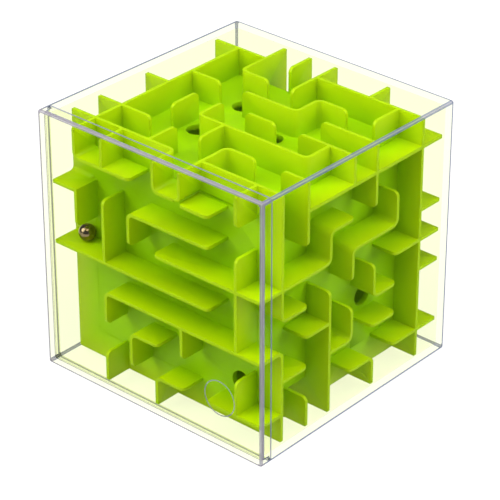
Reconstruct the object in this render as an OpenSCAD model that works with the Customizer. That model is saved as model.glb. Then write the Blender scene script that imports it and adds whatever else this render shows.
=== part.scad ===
// Ball maze in a clear display cube.
// A clear box and its push-on lid hold a hollow cube-shaped maze that slides out.
// The maze is six plates with raised walls, mitred together along the edges.
// A steel ball rolls between the walls, round the edges and through the holes.
// Millimetres, +Z up, origin at the centre of the underside; the lid faces -Y.

/* [Clear case] */
// Outer size of the closed cube
case_size = 80; // [76:1:90]
// Thickness of the clear walls
case_wall = 1.6; // [1.2:0.1:2]
// Depth of the lid from its face to the seam
lid_depth = 4; // [3.5:0.5:6]
// Length of the tongue on the box that the lid pushes over
tongue_len = 2.2; // [1.6:0.1:3]
// Radius of the long outer edges of the case
case_edge_r = 0.6; // [0.4:0.1:1.6]
// Radius of the long inner corners of the case
case_inner_r = 0.5; // [0.3:0.1:0.8]

/* [Maze] */
// Height of the maze cube over its wall tips
maze_size = 75.2; // [72:0.2:75.6]
// Size of the hollow core cube over the corridor floors
core_size = 59; // [56:0.2:60]
// Distance from one wall to the next
pitch = 9.4; // [9:0.1:9.6]
// Thickness of the raised walls
wall = 1; // [0.8:0.1:1.6]
// Thickness of the core plates
plate_t = 1.6; // [1.2:0.1:2.4]
// Radius on the outer corner of a wall that ends free
end_r = 1.6; // [0.8:0.2:2.4]
// Radius, along the middle of the wall, where two walls turn a corner
turn_r = 1.8; // [1.2:0.2:3]
// Radius on the corner of a wall that runs round an edge of the maze
fin_r = 0.3; // [0.2:0.1:1.2]
// Diameter of the holes through the core plates
hole_d = 6.4; // [5.6:0.2:7]
// Air under the maze, between it and the floor of the case
rest_gap = 0.2; // [0.1:0.1:0.4]

/* [Ball] */
// Diameter of the steel ball
ball_d = 5; // [4:0.5:5.5]
// Distance of the ball's centre from the middle of the case, to the left
ball_left = 30.4; // [27:0.1:34]
// Air between the ball and the walls that it rests against
ball_air = 0.1; // [0.1:0.1:0.5]

/* [Hidden] */

$fn = 64;
cells = 6;
eps = 0.01;
far = 3 * case_size;
slip = 0.05;                          // clearance between the lid and the tongue
joint_gap = 0.02;                     // half the gap in a mitred edge
clear_colour = [0.9, 0.95, 0.92, 0.3];
lime = "yellowgreen";

case_half = case_size / 2;
inner_half = case_half - case_wall;
tongue_half = inner_half + case_wall / 2;
lid_seam_y = -case_half + lid_depth;

tip = maze_size / 2;
core = core_size / 2;
border = core - wall / 2;
maze_z = case_wall + rest_gap + tip;
ball_reach = ball_d / 2 + ball_air;

// Place of a grid line: 0 and 6 are the borders, -1 and 7 run on round the edge
function line_at(i) =
    i < 0 ? -tip :
    i > cells ? tip :
    i == 0 ? -border :
    i == cells ? border :
    (i - cells / 2) * pitch;
function cell_at(i) = (line_at(i) + line_at(i + 1)) / 2;

// Wall lists hold [across, line, from, to] as seen from outside the maze.
// across is true for a wall along a row, and false for a wall up a column.
// A line such as 5.98 puts a wall that touches no other a little beside its grid line.
// A wall of no length, such as one from 5 to 5, keeps a turn square.
A = true;
U = false;

front_walls = [
    [A, 6, 0, 2], [A, 6, 3, 4], [A, 5.98, 4, 5],
    [A, 5, -1, 0], [A, 5, 2, 5],
    [A, 4, 3, 7],
    [A, 3, -1, 5],
    [A, 2, 1, 7],
    [A, 1, 2, 3],
    [A, 0, 3, 4], [A, 0, 5, 7],
    [U, 0, 6, 7], [U, 0, 5, 5], [U, 0, 3.88, 5],
    [U, 1, 6, 7], [U, 1, 3, 5], [U, 1, 1, 2], [U, 1, -1, 0],
    [U, 2, 4, 5], [U, 2, 0, 1],
    [U, 3, 6, 7], [U, 3, -1, 0],
    [U, 4, 6, 7], [U, 4, 1, 2],
    [U, 6, 6, 7], [U, 6, 2, 5], [U, 6, 0, 1]
];
front_holes = [[5, 0]];

right_walls = [
    [A, 6, 1, 7],
    [A, 5, 2, 3],
    [A, 4, -1, 2], [A, 4, 3, 5], [A, 4, 6, 7],
    [A, 3, 0, 1], [A, 3, 5, 7],
    [A, 2, -1, 0], [A, 2, 1, 2], [A, 2, 4, 5], [A, 2, 6, 7],
    [A, 1, 0, 1], [A, 1, 2, 3], [A, 1, 4, 5],
    [A, 0, -1, 0], [A, 0, 3, 4], [A, 0, 5, 7],
    [U, 0, 3, 7], [U, 0, -1, 2],
    [U, 1, 5, 7], [U, 1, -1, 0],
    [U, 2, 4, 5], [U, 2, -1, 3],
    [U, 3, 6, 7], [U, 3, 3, 4], [U, 3, 1, 2],
    [U, 4, 5, 7], [U, 4, 2, 3], [U, 4, -1, 0],
    [U, 5, 4, 5],
    [U, 6, -1, 7]
];
right_holes = [[4, 1]];

top_walls = [
    [A, 6, -1, 1], [A, 6, 3, 7],
    [A, 5, 1, 2], [A, 5, 4, 5],
    [A, 4, 0, 1], [A, 4, 2, 4], [A, 4, 5, 7],
    [A, 3, -1, 0], [A, 3, 3, 4], [A, 3, 5, 7],
    [A, 2, 2, 6],
    [A, 1, -1, 1], [A, 1, 4, 5], [A, 1, 6, 7],
    [A, 0, -1, 3], [A, 0, 4, 7],
    [U, 0, -1, 6],
    [U, 1, 5, 7], [U, 1, 2, 3], [U, 1, -1, 0],
    [U, 2, 6, 7], [U, 2, 2, 3], [U, 2, 0, 1],
    [U, 3, 5, 7], [U, 3, 1, 2], [U, 3, -1, 0],
    [U, 4, 4, 5], [U, 4, -1, 1],
    [U, 5, 6, 7],
    [U, 6, 5, 6], [U, 6, 2, 3], [U, 6, -1, 0]
];
top_holes = [[1, 2], [1, 4], [3, 3]];

// Columns on the back count from the right-hand side of the case to the left
back_walls = [
    [A, 6, -1, 1], [A, 6, 3, 4], [A, 6, 5, 6],
    [A, 5, 2, 3], [A, 5, 4, 5],
    [A, 4, -1, 2], [A, 4, 3, 4], [A, 4, 5, 7],
    [A, 3, -1, 1], [A, 3, 3, 5],
    [A, 2, -1, 0], [A, 2, 1, 2], [A, 2, 4, 7],
    [A, 1, 0, 1], [A, 1, 3, 5],
    [A, 0, -1, 2], [A, 0, 3, 7],
    [U, 0, 4, 6], [U, 0, -1, 2],
    [U, 1, 6, 7], [U, 1, 4, 5],
    [U, 2, 1, 3], [U, 2, -1, 0],
    [U, 3, 4, 7], [U, 3, 1, 2],
    [U, 4, 6, 7], [U, 4, -1, 1],
    [U, 5, 5, 7], [U, 5, 3, 4],
    [U, 6, 4, 6], [U, 6, 0, 2]
];
back_holes = [[2, 3], [5, 1]];

// Columns on the left side count from the back of the case to the front
left_walls = [
    [A, 6, 0, 2], [A, 6, 4, 5],
    [A, 5, 3, 4], [A, 5, 6, 7],
    [A, 4, -1, 2], [A, 4, 4, 5],
    [A, 3, 1, 3], [A, 3, 5, 7],
    [A, 2, -1, 1], [A, 2, 2, 4],
    [A, 1, 1, 2], [A, 1, 4, 6],
    [A, 0, -1, 3], [A, 0, 4, 6],
    [U, 0, 4, 7], [U, 0, -1, 2],
    [U, 1, 4, 5], [U, 1, 2, 3],
    [U, 2, 5, 6], [U, 2, 0, 1],
    [U, 3, 5, 7], [U, 3, -1, 0],
    [U, 4, 3, 4], [U, 4, 1, 2],
    [U, 5, 6, 7], [U, 5, 2, 3], [U, 5, -1, 0],
    [U, 6, 5, 7], [U, 6, -1, 4]
];
left_holes = [[2, 4], [4, 0]];

// Rows on the underside count from the back of the case to the front
bottom_walls = [
    [A, 6, -1, 7],
    [A, 5, -1, 1], [A, 5, 2, 4], [A, 5, 6, 7],
    [A, 4, 1, 3], [A, 4, 5, 7],
    [A, 3, -1, 1], [A, 3, 3, 4],
    [A, 2, 1, 2], [A, 2, 4, 7],
    [A, 1, 2, 4],
    [A, 0, -1, 3], [A, 0, 4, 7],
    [U, 0, 3, 5], [U, 0, 0, 2],
    [U, 1, 6, 7], [U, 1, 1, 2],
    [U, 2, 4, 5], [U, 2, -1, 0],
    [U, 3, 5, 7], [U, 3, 2, 3],
    [U, 4, 3, 4], [U, 4, -1, 1],
    [U, 5, 5, 6], [U, 5, 3, 4],
    [U, 6, 5, 6], [U, 6, -1, 3]
];
bottom_holes = [[1, 3], [4, 1]];

// Where walls meet: whether a wall touches a grid point, and whether it ends there
function touches(w, p) =
    w[0] ? w[1] == p[1] && w[2] <= p[0] && p[0] <= w[3]
         : w[1] == p[0] && w[2] <= p[1] && p[1] <= w[3];
function point_of(w, i) = w[0] ? [i, w[1]] : [w[1], i];
function ends_at(w, p) = point_of(w, w[2]) == p || point_of(w, w[3]) == p;
function at_point(walls, p) = [for (w = walls) if (touches(w, p)) w];
function is_free(walls, p) = len(at_point(walls, p)) == 1;
function is_turn(walls, p) =
    let (here = at_point(walls, p))
    len(here) == 2 && here[0][0] != here[1][0] && ends_at(here[0], p) && ends_at(here[1], p);
function inside(i) = i >= 0 && i <= cells;

// How far past its last grid line a wall's end runs
function overrun(walls, w, i) =
    !inside(i) ? 0 :
    is_turn(walls, point_of(w, i)) ? -turn_r : wall / 2;

module wall_plan(walls) {
    for (w = walls) {
        low = line_at(w[2]) - overrun(walls, w, w[2]);
        high = line_at(w[3]) + overrun(walls, w, w[3]);
        side = line_at(w[1]) - wall / 2;
        if (w[0]) translate([low, side]) square([high - low, wall]);
        else translate([side, low]) square([wall, high - low]);
    }
    for (i = [0 : cells], j = [0 : cells])
        if (is_turn(walls, [i, j])) turn_plan(walls, [i, j]);
}

// Quarter ring that joins two walls at a turn
module turn_plan(walls, p) {
    here = at_point(walls, p);
    across = here[0][0] ? here[0] : here[1];
    up = here[0][0] ? here[1] : here[0];
    sx = across[2] == p[0] ? 1 : -1;
    sy = up[2] == p[1] ? 1 : -1;
    translate([line_at(p[0]) + sx * turn_r, line_at(p[1]) + sy * turn_r])
        intersection() {
            difference() {
                circle(turn_r + wall / 2);
                circle(turn_r - wall / 2);
            }
            translate([sx > 0 ? -2 * turn_r : 0, sy > 0 ? -2 * turn_r : 0])
                square(2 * turn_r);
        }
}

// Takes the sharp corner off the end of a wall; +X is the way the wall points
module end_cut() {
    translate([wall / 2 - end_r, 0, tip - end_r])
        rotate([90, 0, 0])
            difference() {
                translate([0, 0, -wall]) cube([2 * end_r, 2 * end_r, 2 * wall]);
                translate([0, 0, -2 * wall]) cylinder(r = end_r, h = 4 * wall);
            }
}

module end_cuts(walls) {
    for (w = walls, k = [2, 3]) {
        p = point_of(w, w[k]);
        if (inside(w[k]) && is_free(walls, p))
            translate([line_at(p[0]), line_at(p[1]), 0])
                rotate([0, 0, (w[0] ? 0 : 90) + (k == 2 ? 180 : 0)])
                    end_cut();
    }
}

// Trims a plate to its own sixth of the cube, and rounds the fins on the edges
module edge_cuts() {
    for (a = [0 : 90 : 270]) rotate([0, 0, a]) {
        rotate([0, 45, 0]) translate([-joint_gap, -far, -far]) cube([far, 2 * far, 2 * far]);
        translate([tip - fin_r, 0, tip - fin_r])
            rotate([90, 0, 0])
                difference() {
                    translate([0, 0, -tip - 1]) cube([2 * fin_r, 2 * fin_r, 2 * tip + 2]);
                    translate([0, 0, -tip - 2]) cylinder(r = fin_r, h = 2 * tip + 4);
                }
    }
}

// One plate of the maze, lying flat at the top of the cube
module maze_plate(walls, holes) {
    color(lime)
        difference() {
            union() {
                translate([-tip, -tip, core - plate_t]) cube([2 * tip, 2 * tip, plate_t]);
                translate([0, 0, core - eps])
                    linear_extrude(tip - core + eps) wall_plan(walls);
            }
            for (h = holes)
                translate([cell_at(h[0]), cell_at(h[1]), core - 2 * plate_t])
                    cylinder(d = hole_d, h = 3 * plate_t);
            end_cuts(walls);
            edge_cuts();
        }
}

// Turns a plate from the top of the cube to its own face
module on_face(turn) {
    translate([0, 0, maze_z]) rotate(turn) children();
}

module maze_plate_front() { on_face([90, 0, 0]) maze_plate(front_walls, front_holes); }
module maze_plate_right() { on_face([90, 0, 90]) maze_plate(right_walls, right_holes); }
module maze_plate_back() { on_face([90, 0, 180]) maze_plate(back_walls, back_holes); }
module maze_plate_left() { on_face([90, 0, 270]) maze_plate(left_walls, left_holes); }
module maze_plate_top() { on_face([0, 0, 0]) maze_plate(top_walls, top_holes); }
module maze_plate_bottom() { on_face([180, 0, 0]) maze_plate(bottom_walls, bottom_holes); }

// Square bar along Y with rounded long edges
module bar(half, r, y0, y1) {
    translate([0, y1, case_half])
        rotate([90, 0, 0])
            linear_extrude(y1 - y0)
                union() {
                    square([2 * half - 2 * r, 2 * half], center = true);
                    square([2 * half, 2 * half - 2 * r], center = true);
                    for (sx = [-1, 1], sy = [-1, 1])
                        translate([sx * (half - r), sy * (half - r)]) circle(r);
                }
}

// Box open towards -Y, with a thin tongue round its mouth
module clear_box() {
    color(clear_colour)
        difference() {
            union() {
                bar(case_half, case_edge_r, lid_seam_y, case_half);
                bar(tongue_half, case_wall / 2, lid_seam_y - tongue_len, lid_seam_y + eps);
            }
            bar(inner_half, case_inner_r, -case_half, inner_half);
        }
}

// Lid that pushes over the tongue
module clear_lid() {
    color(clear_colour)
        difference() {
            bar(case_half, case_edge_r, -case_half, lid_seam_y);
            bar(tongue_half + slip, case_wall / 2 + slip, -inner_half, lid_seam_y + eps);
        }
}

module steel_ball() {
    color("silver")
        translate([-ball_left, -core - ball_reach, maze_z + wall / 2 + ball_reach])
            sphere(d = ball_d);
}

clear_box();
clear_lid();
maze_plate_front();
maze_plate_back();
maze_plate_left();
maze_plate_right();
maze_plate_top();
maze_plate_bottom();
steel_ball();
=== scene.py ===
from math import cos, pi, radians, sin

import bmesh
import bpy
from mathutils import Matrix, Vector


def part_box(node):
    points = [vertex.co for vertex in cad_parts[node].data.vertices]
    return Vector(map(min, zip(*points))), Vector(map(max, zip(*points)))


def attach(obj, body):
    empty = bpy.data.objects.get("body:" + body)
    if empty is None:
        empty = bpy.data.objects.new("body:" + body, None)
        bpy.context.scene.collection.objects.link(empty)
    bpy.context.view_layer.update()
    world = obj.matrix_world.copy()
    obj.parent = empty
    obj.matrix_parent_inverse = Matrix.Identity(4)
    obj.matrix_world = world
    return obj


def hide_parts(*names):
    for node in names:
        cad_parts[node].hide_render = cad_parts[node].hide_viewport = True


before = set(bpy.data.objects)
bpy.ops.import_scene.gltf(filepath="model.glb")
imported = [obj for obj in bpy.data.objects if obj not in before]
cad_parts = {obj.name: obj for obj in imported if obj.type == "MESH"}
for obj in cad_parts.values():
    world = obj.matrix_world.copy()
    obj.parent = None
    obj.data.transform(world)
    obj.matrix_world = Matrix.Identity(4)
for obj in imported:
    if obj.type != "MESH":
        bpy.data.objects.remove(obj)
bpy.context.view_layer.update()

# ---------------------------------------------------------------- The table and the studio
# A light table of opal acrylic that the cube stands on, three soft boxes and a pale room.
# The room is dimmer low down, so that clear edges and steel have something dark to mirror,
# as they do in any real studio.

MM = 0.001


def linear(code, alpha=1.0):
    """sRGB hex to the linear colour that the shaders take."""
    parts = [int(code[i:i + 2], 16) / 255 for i in (1, 3, 5)]
    return [c / 12.92 if c <= 0.04045 else ((c + 0.055) / 1.055) ** 2.4 for c in parts] + [alpha]


def add(tree, kind, links=None, **settings):
    """A node of that kind. settings are its properties, and links its sockets' values or sources."""
    node = tree.nodes.new(kind)
    for name, value in settings.items():
        setattr(node, name, value)
    for name, value in (links or {}).items():
        if isinstance(value, bpy.types.NodeSocket):
            tree.links.new(value, node.inputs[name])
        else:
            node.inputs[name].default_value = value
    return node


def new_material(name):
    """An empty node material and its output node."""
    material = bpy.data.materials.new(name)
    material.use_nodes = True
    material.node_tree.nodes.clear()
    return material, material.node_tree, add(material.node_tree, "ShaderNodeOutputMaterial")


def new_object(name, mesh, *materials):
    for material in materials:
        mesh.materials.append(material)
    piece = bpy.data.objects.new(name, mesh)
    bpy.context.scene.collection.objects.link(piece)
    return piece


# Opal acrylic lit from below: a plain white that stays pale in the shadows.
opal, tree, out = new_material("lit_opal_acrylic")
place = add(tree, "ShaderNodeTexCoord")
cloud = add(tree, "ShaderNodeTexNoise", {"Vector": place.outputs["Object"], "Scale": 6.0, "Detail": 2.0})
white = add(tree, "ShaderNodeMix", {"Factor": cloud.outputs["Fac"], "A": linear("#6E6E6E"),
                                    "B": linear("#747473")}, data_type="RGBA")
board = add(tree, "ShaderNodeBsdfPrincipled", {"Base Color": white.outputs["Result"], "Roughness": 0.8,
                                               "Specular IOR Level": 0.1, "Emission Color": linear("#FFFFFF"),
                                               "Emission Strength": 0.95})
tree.links.new(board.outputs[0], out.inputs["Surface"])

table_half = 6.0
table_mesh = bpy.data.meshes.new("table")
table_z = -0.05 * MM                 # just clear of the case's underside, so that light can pass between them
table_mesh.from_pydata([(-table_half, -table_half, table_z), (table_half, -table_half, table_z),
                        (table_half, table_half, table_z), (-table_half, table_half, table_z)],
                       [], [(0, 1, 2, 3)])
table = new_object("table", table_mesh, opal)
table.visible_glossy = False          # as through a polarising filter, which takes its glare off clear walls

case_low, case_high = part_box("clear_box")
case_low = Vector((case_low.x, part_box("clear_lid")[0].y, case_low.z))
middle = (case_low + case_high) / 2


def soft_box(name, azimuth, elevation, distance, size, watts, colour="#FFFFFF"):
    """A square soft box that faces the middle of the cube. Azimuth 0 is in front of the lid."""
    light = bpy.data.lights.new(name, "AREA")
    light.shape = "SQUARE"
    light.size = size
    light.energy = watts
    light.color = linear(colour)[:3]
    lamp = bpy.data.objects.new(name, light)
    bpy.context.scene.collection.objects.link(lamp)
    a, e = radians(azimuth), radians(elevation)
    back = Vector((sin(a) * cos(e), -cos(a) * cos(e), sin(e)))
    lamp.location = middle + back * distance
    lamp.rotation_euler = back.to_track_quat("Z", "Y").to_euler()
    return lamp


soft_box("key_overhead", 40, 74, 1.1, 1.0, 10.5, "#FFF6EA")
soft_box("fill_left", -35, 35, 1.3, 0.9, 9.4)
soft_box("fill_right", 115, 35, 1.3, 0.9, 8.0)

room = bpy.data.worlds.new("pale_room")
bpy.context.scene.world = room
room.use_nodes = True
room.node_tree.nodes.clear()
tree = room.node_tree
place = add(tree, "ShaderNodeTexCoord")
axes = add(tree, "ShaderNodeSeparateXYZ", {"Vector": place.outputs["Generated"]})
height = add(tree, "ShaderNodeMapRange", {"Value": axes.outputs["Z"], "From Min": 0.05, "From Max": 0.6})
tone = add(tree, "ShaderNodeMix", {"Factor": height.outputs["Result"], "A": linear("#8E97A8"),
                                   "B": linear("#D6DAE0")}, data_type="RGBA")
glow = add(tree, "ShaderNodeBackground", {"Color": tone.outputs["Result"], "Strength": 0.3})
sky = add(tree, "ShaderNodeOutputWorld", {"Surface": glow.outputs[0]})

# The camera looks down on the corner between the lid and the right-hand side.
camera_data = bpy.data.cameras.new("camera")
camera_data.lens = 179.6
camera_data.sensor_width = 36.0
camera = bpy.data.objects.new("camera", camera_data)
bpy.context.scene.collection.objects.link(camera)
turn, lift = radians(41.393), radians(29.87)
backwards = Vector((sin(turn) * cos(lift), -cos(turn) * cos(lift), sin(lift)))
rightwards = Vector((cos(turn), sin(turn), 0))
upwards = backwards.cross(rightwards)
camera.matrix_world = Matrix.Translation(Vector((399.0, -451.7, 380.6)) * MM) @ Matrix(
    (rightwards, upwards, backwards)).transposed().to_4x4()
bpy.context.scene.camera = camera
bpy.context.scene.view_settings.view_transform = "Standard"

# Light passes many clear surfaces on its way through the case.
bpy.context.scene.cycles.max_bounces = 24
bpy.context.scene.cycles.glossy_bounces = 12
bpy.context.scene.cycles.transmission_bounces = 20

# ---------------------------------------------------------------- The six maze plates
# Square plates of translucent lime polystyrene with thin walls standing on them. Each is one
# injection moulding, and the six are glued along mitred edges into a hollow cube.

PLATES = ("front", "back", "left", "right", "top", "bottom")
mitre_gap = 0.0283 * MM              # the CAD plates stop this far short of the mitre, along the face
mould_edge = 0.14 * MM               # the mould leaves every edge of a wall a little rounded
maze_tip = -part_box("maze_plate_front")[0].y
plate_boxes = [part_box("maze_plate_" + side) for side in PLATES]
maze_middle = Vector((0, 0, (min(p[0].z for p in plate_boxes) + max(p[1].z for p in plate_boxes)) / 2))
wall_height = 8 * MM                 # from a plate's face to the tips of its walls
rim_shade_width = 0.3 * MM                     # the rounded rim of a wall, painted a little darker: painted shade against the highlight it catches

# Translucent polystyrene, injection moulded. The walls are painted yellower towards their tips
# and a deeper green down in the corners: painted light where a thin wall lets light through, and
# painted shade in the recesses. The skin has a satin gloss.
lime, tree, out = new_material("lime_polystyrene")
place = add(tree, "ShaderNodeTexCoord")
shifted = add(tree, "ShaderNodeVectorMath", {0: place.outputs["Object"], 1: maze_middle}, operation="SUBTRACT")
away = add(tree, "ShaderNodeVectorMath", {0: shifted.outputs[0]}, operation="ABSOLUTE")
parts = add(tree, "ShaderNodeSeparateXYZ", {"Vector": away.outputs[0]})
wider = add(tree, "ShaderNodeMath", {0: parts.outputs["X"], 1: parts.outputs["Y"]}, operation="MAXIMUM")
reach = add(tree, "ShaderNodeMath", {0: wider.outputs[0], 1: parts.outputs["Z"]}, operation="MAXIMUM")
# painted light and shade by depth: yellower towards the wall tips, deeper green at the plate's face
painted_tip_light_mask = add(tree, "ShaderNodeMapRange", {"Value": reach.outputs[0], "From Min": maze_tip - wall_height,
                                            "From Max": maze_tip})
flow = add(tree, "ShaderNodeTexNoise", {"Vector": place.outputs["Object"], "Scale": 1 / (14 * MM), "Detail": 2.0})
body = add(tree, "ShaderNodeMix", {"Factor": flow.outputs["Fac"], "A": linear("#8CC000"),
                                   "B": linear("#94C400")}, data_type="RGBA")
painted_depth_shading = add(tree, "ShaderNodeMix", {"Factor": painted_tip_light_mask.outputs["Result"], "A": body.outputs["Result"],
                                   "B": linear("#AAC800")}, data_type="RGBA")
# painted shade: the rounded rim at each wall tip turns a darker green, against the highlight it catches
painted_rim_shade_mask = add(tree, "ShaderNodeMapRange", {"Value": reach.outputs[0], "From Min": maze_tip - rim_shade_width,
                                            "From Max": maze_tip - rim_shade_width / 6})
skin = add(tree, "ShaderNodeMix", {"Factor": painted_rim_shade_mask.outputs["Result"], "A": painted_depth_shading.outputs["Result"],
                                   "B": linear("#9CBE00")}, data_type="RGBA")
grain = add(tree, "ShaderNodeTexNoise", {"Vector": place.outputs["Object"], "Scale": 1 / (0.5 * MM), "Detail": 2.0})
bump = add(tree, "ShaderNodeBump", {"Height": grain.outputs["Fac"], "Strength": 0.12, "Distance": 0.02 * MM})
gloss = add(tree, "ShaderNodeMapRange", {"Value": flow.outputs["Fac"], "To Min": 0.3, "To Max": 0.42})
plastic = add(tree, "ShaderNodeBsdfPrincipled", {"Base Color": skin.outputs["Result"],
                                                 "Roughness": gloss.outputs["Result"], "IOR": 1.59,
                                                 "Specular IOR Level": 0.12,
                                                 "Normal": bump.outputs["Normal"]})
through = add(tree, "ShaderNodeBsdfTranslucent", {"Color": linear("#D2DE00"), "Normal": bump.outputs["Normal"]})
both = add(tree, "ShaderNodeMixShader", {0: 0.28, 1: plastic.outputs[0], 2: through.outputs[0]})
tree.links.new(both.outputs[0], out.inputs["Surface"])

# Solvent cement: it melts the two mitred faces into one, so light passes straight through the joint.
cement, tree, out = new_material("solvent_cement_joint")
clear = add(tree, "ShaderNodeBsdfTransparent", {"Color": linear("#FFFFFF")})
tree.links.new(clear.outputs[0], out.inputs["Surface"])


def plate_frame(side):
    """Outward direction of a plate, as an axis number and a sign."""
    return {"front": (1, -1), "back": (1, 1), "left": (0, -1), "right": (0, 1),
            "top": (2, 1), "bottom": (2, -1)}[side]


for side in PLATES:
    node = "maze_plate_" + side
    axis, sign = plate_frame(side)
    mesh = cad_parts[node].data.copy()
    mesh.materials.clear()
    shape = bmesh.new()
    shape.from_mesh(mesh)
    bmesh.ops.remove_doubles(shape, verts=shape.verts, dist=0.002 * MM)
    bmesh.ops.dissolve_limit(shape, angle_limit=radians(1.0), verts=shape.verts, edges=shape.edges)
    on_mitre = set()
    for v in shape.verts:
        local = v.co - maze_middle
        depth = local[axis] * sign
        for other in range(3):
            if other != axis and abs(depth - abs(local[other]) - mitre_gap) < 0.006 * MM:
                local[other] = depth if local[other] > 0 else -depth
                v.co = local + maze_middle
                on_mitre.add(v)
    for f in shape.faces:
        if 0.6 < abs(f.normal[axis]) < 0.8 and all(v in on_mitre for v in f.verts):
            f.material_index = 1
    weights = shape.edges.layers.float.new("bevel_weight_edge")
    for e in shape.edges:
        if len(e.link_faces) == 2 and e.calc_face_angle() > radians(40):
            if e.verts[0] in on_mitre and e.verts[1] in on_mitre:
                e.smooth = False
            else:
                e[weights] = 1.0
    shape.to_mesh(mesh)
    shape.free()
    plate = new_object("plate_" + side, mesh, lime, cement)
    for face in mesh.polygons:
        face.use_smooth = True
    rounding = plate.modifiers.new("mould_edges", "BEVEL")
    rounding.limit_method = "WEIGHT"
    rounding.width = mould_edge
    rounding.segments = 2
    rounding.use_clamp_overlap = True
    rounding.harden_normals = True
    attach(plate, "maze")
    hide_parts(node)

# ---------------------------------------------------------------- The steel ball
# A 5 mm bearing ball of chrome steel, ground and lapped, which lies loose on a shelf of the
# front plate. Handling has left it with fine wipe marks.

ball_low, ball_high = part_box("steel_ball")
ball_middle = (ball_low + ball_high) / 2
ball_radius = (ball_high.z - ball_low.z) / 2

# Lapped chrome steel: a mirror with faint scratches that blur it in places.
steel, tree, out = new_material("lapped_chrome_steel")
place = add(tree, "ShaderNodeTexCoord")
wipes = add(tree, "ShaderNodeTexNoise", {"Vector": place.outputs["Object"], "Scale": 1 / (0.9 * MM), "Detail": 3.0})
blur = add(tree, "ShaderNodeMapRange", {"Value": wipes.outputs["Fac"], "To Min": 0.06, "To Max": 0.16})
metal = add(tree, "ShaderNodeBsdfPrincipled", {"Base Color": linear("#8C7A69"), "Metallic": 1.0,
                                               "Roughness": blur.outputs["Result"]})
tree.links.new(metal.outputs[0], out.inputs["Surface"])

shape = bmesh.new()
bmesh.ops.create_cube(shape, size=2.0)
bmesh.ops.subdivide_edges(shape, edges=shape.edges, cuts=15, use_grid_fill=True)
for v in shape.verts:
    # equal angles on each face of the cube keep the facets of the ball even
    v.co = Vector([sin(c * pi / 4) / cos(c * pi / 4) for c in v.co]).normalized()
    v.co = ball_middle + v.co * ball_radius
mesh = bpy.data.meshes.new("ball")
shape.to_mesh(mesh)
shape.free()
for face in mesh.polygons:
    face.use_smooth = True
ball = new_object("bearing_ball", mesh, steel)
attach(ball, "ball")
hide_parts("steel_ball")

# ---------------------------------------------------------------- The clear box
# A deep box of crystal polystyrene, injection moulded in one piece and open at the front, with
# a thin tongue round its mouth. Its outer edges are rounded, and its skin is as smooth as glass.

corner_steps = 6
corner_strip = 0.25 * MM             # a radius blends into the flat over this width
least_radius = 0.02 * MM
slack = 1.1                          # lets the search for faces beside an edge run a little wide


def ring(shape, half, corner, y):
    """One rounded square round the cube's Y axis, with a strip of flat on both sides of each corner.
    The draft narrows it behind the seam, over a level underside."""
    narrower = case_draft * max(0, y - seam_y) / (back_y - seam_y)
    half -= narrower
    points = []
    for quarter in range(4):
        cx = (half - corner) * (1 if quarter in (0, 3) else -1)
        cz = (half - corner) * (1 if quarter in (0, 1) else -1)
        turns = [(quarter + step / corner_steps) * pi / 2 for step in range(corner_steps + 1)]
        spots = [(cx + corner * cos(a), cz + corner * sin(a)) for a in turns]
        first, last = Vector(spots[0]), Vector(spots[-1])
        along, across = (Vector((round(cos(a)), round(sin(a)))) for a in (turns[0], turns[-1]))
        spots = [tuple(first - across * corner_strip)] + spots + [tuple(last - along * corner_strip)]
        points += [shape.verts.new((px, y, middle.z - narrower + pz)) for px, pz in spots]
    return points


def bend(half, corner, y, radius, into, strip=0):
    """Rings round a quarter bend, from a flat face at y to a wall. into is the way the wall runs on,
    and strip the width of flat on both sides of the bend that has rings of its own."""
    rings = [(half - radius - strip, least_radius, y)] if strip else []
    for step in range(corner_steps + 1):
        a = step / corner_steps * pi / 2
        rings.append((half - radius + radius * sin(a), max(corner - radius + radius * sin(a), least_radius),
                      y + into * (radius - radius * cos(a))))
    return rings + ([(half, corner, y + into * (radius + strip))] if strip else [])


def bridge(shape, low, high, material_index=0):
    """A band of faces between two rings."""
    for i in range(len(low)):
        j = (i + 1) % len(low)
        shape.faces.new((low[i], low[j], high[j], high[i])).material_index = material_index


def finish_moulding(shape, name, flat_material, edge_material):
    """Turns a closed skin into an object whose flats stay flat beside their rounded edges.
    The outer radii and the strips beside them take the edge material."""
    bmesh.ops.recalc_face_normals(shape, faces=shape.faces)
    for f in shape.faces:
        offsets = sorted(abs(c) for c in f.calc_center_median() - middle)
        beside_edge = offsets[1] > case_half - edge_radius - corner_strip - case_draft * slack
        slanted = offsets[2] > inner_half + 0.1 * MM and max(abs(c) for c in f.normal) < 0.999
        narrow = min(e.calc_length() for e in f.edges) < corner_strip * slack
        if slanted or (beside_edge and narrow):
            f.material_index = 1
    mesh = bpy.data.meshes.new(name)
    shape.to_mesh(mesh)
    shape.free()
    for face in mesh.polygons:
        face.use_smooth = True
    piece = new_object(name, mesh, flat_material, edge_material)
    flats = piece.modifiers.new("flat_faces", "WEIGHTED_NORMAL")
    flats.mode = "FACE_AREA"
    flats.weight = 100
    return piece


case_half = case_high.x
case_wall = 1.6 * MM
case_draft = 0.5 * MM                # each side leans in this far between the seam and the back
inner_half = case_half - case_wall
back_y = case_high.y
face_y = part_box("clear_lid")[0].y
seam_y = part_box("clear_lid")[1].y
tongue_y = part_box("clear_box")[0].y
tongue_half = inner_half + case_wall / 2
tongue_corner = case_wall / 2
edge_radius = 0.6 * MM
inside_radius = 0.5 * MM
seam_round = 0.25 * MM               # the blunt corners of the tongue and of both rims

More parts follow.
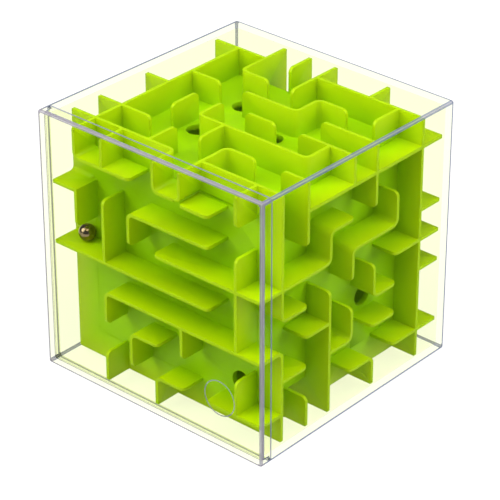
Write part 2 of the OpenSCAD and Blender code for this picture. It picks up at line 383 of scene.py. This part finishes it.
# Crystal polystyrene: water clear with a trace of yellow, polished by the mould. Its IOR is
# 1.59, but flawless walls of that index trap light that the fine scratches of a real box let
# out, and mirror the studio more than a real box does, so a much lower one stands in for it.
crystal, tree, out = new_material("crystal_polystyrene")
place = add(tree, "ShaderNodeTexCoord")
waves = add(tree, "ShaderNodeTexNoise", {"Vector": place.outputs["Object"], "Scale": 1 / (25 * MM), "Detail": 1.0})
haze = add(tree, "ShaderNodeMapRange", {"Value": waves.outputs["Fac"], "To Min": 0.0, "To Max": 0.03})
clear = add(tree, "ShaderNodeBsdfPrincipled", {"Base Color": linear("#F9FBE8"), "Roughness": haze.outputs["Result"],
                                               "IOR": 1.04, "Transmission Weight": 1.0})
lamp_path = add(tree, "ShaderNodeBsdfTransparent", {"Color": linear("#F7F8EE")})
rays = add(tree, "ShaderNodeLightPath")
both = add(tree, "ShaderNodeMixShader", {0: rays.outputs["Is Shadow Ray"], 1: clear.outputs[0],
                                         2: lamp_path.outputs[0]})
tree.links.new(both.outputs[0], out.inputs["Surface"])

# The same polystyrene in the radii, where the mould is less well polished, so they are rough and
# partly opaque. Their colours are painted refraction: a rounded edge is a small lens, so it is painted
# pale along its middle, a painted glow where light that has run inside the walls comes out, with a
# painted blue-grey shade line on either side, and a warmer painted tint on the lid.
radius, tree, out = new_material("moulded_radius_painted_refraction")
place = add(tree, "ShaderNodeTexCoord")
sides = add(tree, "ShaderNodeVectorMath", {0: place.outputs["Normal"]}, operation="ABSOLUTE")
facing = add(tree, "ShaderNodeSeparateXYZ", {"Vector": sides.outputs[0]})
larger = add(tree, "ShaderNodeMath", {0: facing.outputs["X"], 1: facing.outputs["Y"]}, operation="MAXIMUM")
largest = add(tree, "ShaderNodeMath", {0: larger.outputs[0], 1: facing.outputs["Z"]}, operation="MAXIMUM")
# painted shade lines: where the normal nears an axis, beside the flats, the dark blue-grey line colour; at the
# middle of a bend, the pale painted glow
painted_line_mask = add(tree, "ShaderNodeMapRange", {"Value": largest.outputs[0], "From Min": 0.78, "From Max": 0.9})
drag = add(tree, "ShaderNodeTexNoise", {"Vector": place.outputs["Object"], "Scale": 1 / (3 * MM), "Detail": 2.0})
painted_glow_colour = add(tree, "ShaderNodeMix", {"Factor": drag.outputs["Fac"], "A": linear("#8E94A8"),
                                    "B": linear("#BDB4C0")}, data_type="RGBA")
along = add(tree, "ShaderNodeSeparateXYZ", {"Vector": place.outputs["Object"]})
# painted tint: the line colour turns lighter and warmer from behind the seam towards the lid's face
painted_lid_tint_mask = add(tree, "ShaderNodeMapRange", {"Value": along.outputs["Y"], "From Min": seam_y - 1 * MM,
                                         "From Max": face_y + edge_radius})
shade = add(tree, "ShaderNodeMix", {"Factor": painted_lid_tint_mask.outputs["Result"], "A": linear("#7783A0"),
                                    "B": linear("#948E9A")}, data_type="RGBA")
tone = add(tree, "ShaderNodeMix", {"Factor": painted_line_mask.outputs["Result"], "A": painted_glow_colour.outputs["Result"],
                                   "B": shade.outputs["Result"]}, data_type="RGBA")
share = add(tree, "ShaderNodeMapRange", {"Value": painted_line_mask.outputs["Result"], "To Min": 0.3, "To Max": 0.3})
frost = add(tree, "ShaderNodeBsdfPrincipled", {"Base Color": tone.outputs["Result"], "Roughness": 0.3, "IOR": 1.4})
bleed = add(tree, "ShaderNodeBsdfTransparent", {"Color": linear("#E6E8EE")})
both = add(tree, "ShaderNodeMixShader", {0: share.outputs["Result"], 1: frost.outputs[0], 2: bleed.outputs[0]})
tree.links.new(both.outputs[0], out.inputs["Surface"])

shape = bmesh.new()
skin_rings = bend(case_half, edge_radius, back_y, edge_radius, -1, corner_strip)
skin_rings += bend(case_half, edge_radius, seam_y, seam_round, 1)[::-1]
skin_rings += [(tongue_half, tongue_corner, seam_y)]
skin_rings += bend(tongue_half, tongue_corner, tongue_y, seam_round, 1)[::-1]
skin_rings += bend(inner_half, inside_radius, tongue_y, -seam_round, -1)
skin_rings += bend(inner_half, inside_radius, back_y - case_wall, inside_radius, -1)[::-1]
loops = [ring(shape, *r) for r in skin_rings]
for low, high in zip(loops, loops[1:]):
    bridge(shape, low, high)
shape.faces.new(loops[0])
shape.faces.new(loops[-1])
box = finish_moulding(shape, "box_moulding", crystal, radius)
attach(box, "case")
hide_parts("clear_box")

# ---------------------------------------------------------------- The clear lid
# A shallow moulding of the same polystyrene that pushes over the box's tongue and is held by
# friction. A thin raised ring inside its face is the witness mark of an ejector sleeve.

ring_place = Vector((24.0 * MM, 0, 14.5 * MM))
ring_radius = 5.3 * MM
ring_width = 0.35 * MM
ring_height = 0.12 * MM
ring_steps = 48
pocket_slip = 0.05 * MM
seam_gap = 0.05 * MM                 # air between the rim and the box's shoulder

shape = bmesh.new()
pocket_half = tongue_half + pocket_slip
pocket_corner = tongue_corner + pocket_slip
pocket_y = face_y + case_wall
skin_rings = bend(case_half, edge_radius, face_y, edge_radius, 1, corner_strip)
skin_rings += bend(case_half, edge_radius, seam_y - seam_gap, seam_round, -1)[::-1]
skin_rings += [(pocket_half, pocket_corner, seam_y - seam_gap)]
skin_rings += bend(pocket_half, pocket_corner, pocket_y, inside_radius, 1)[::-1]
loops = [ring(shape, *r) for r in skin_rings]
for low, high in zip(loops, loops[1:]):
    bridge(shape, low, high)
shape.faces.new(loops[0])
circles = []
for offset, height in ((0.5, 0), (0.15, 1), (-0.15, 1), (-0.5, 0)):
    circle = []
    for step in range(ring_steps):
        a = step / ring_steps * 2 * pi
        r = ring_radius + offset * ring_width
        circle.append(shape.verts.new((ring_place.x + r * cos(a), pocket_y + height * ring_height,
                                       ring_place.z + r * sin(a))))
    circles.append(circle)
for low, high in zip(circles, circles[1:]):
    bridge(shape, low, high, 1)
shape.faces.new(circles[-1])
pane_rim = [shape.edges.get((loops[-1][i - 1], loops[-1][i])) for i in range(len(loops[-1]))]
hoop = [shape.edges.get((circles[0][i - 1], circles[0][i])) for i in range(ring_steps)]
bmesh.ops.triangle_fill(shape, edges=pane_rim + hoop, use_beauty=True)
lid = finish_moulding(shape, "lid_moulding", crystal, radius)
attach(lid, "lid")
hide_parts("clear_lid")
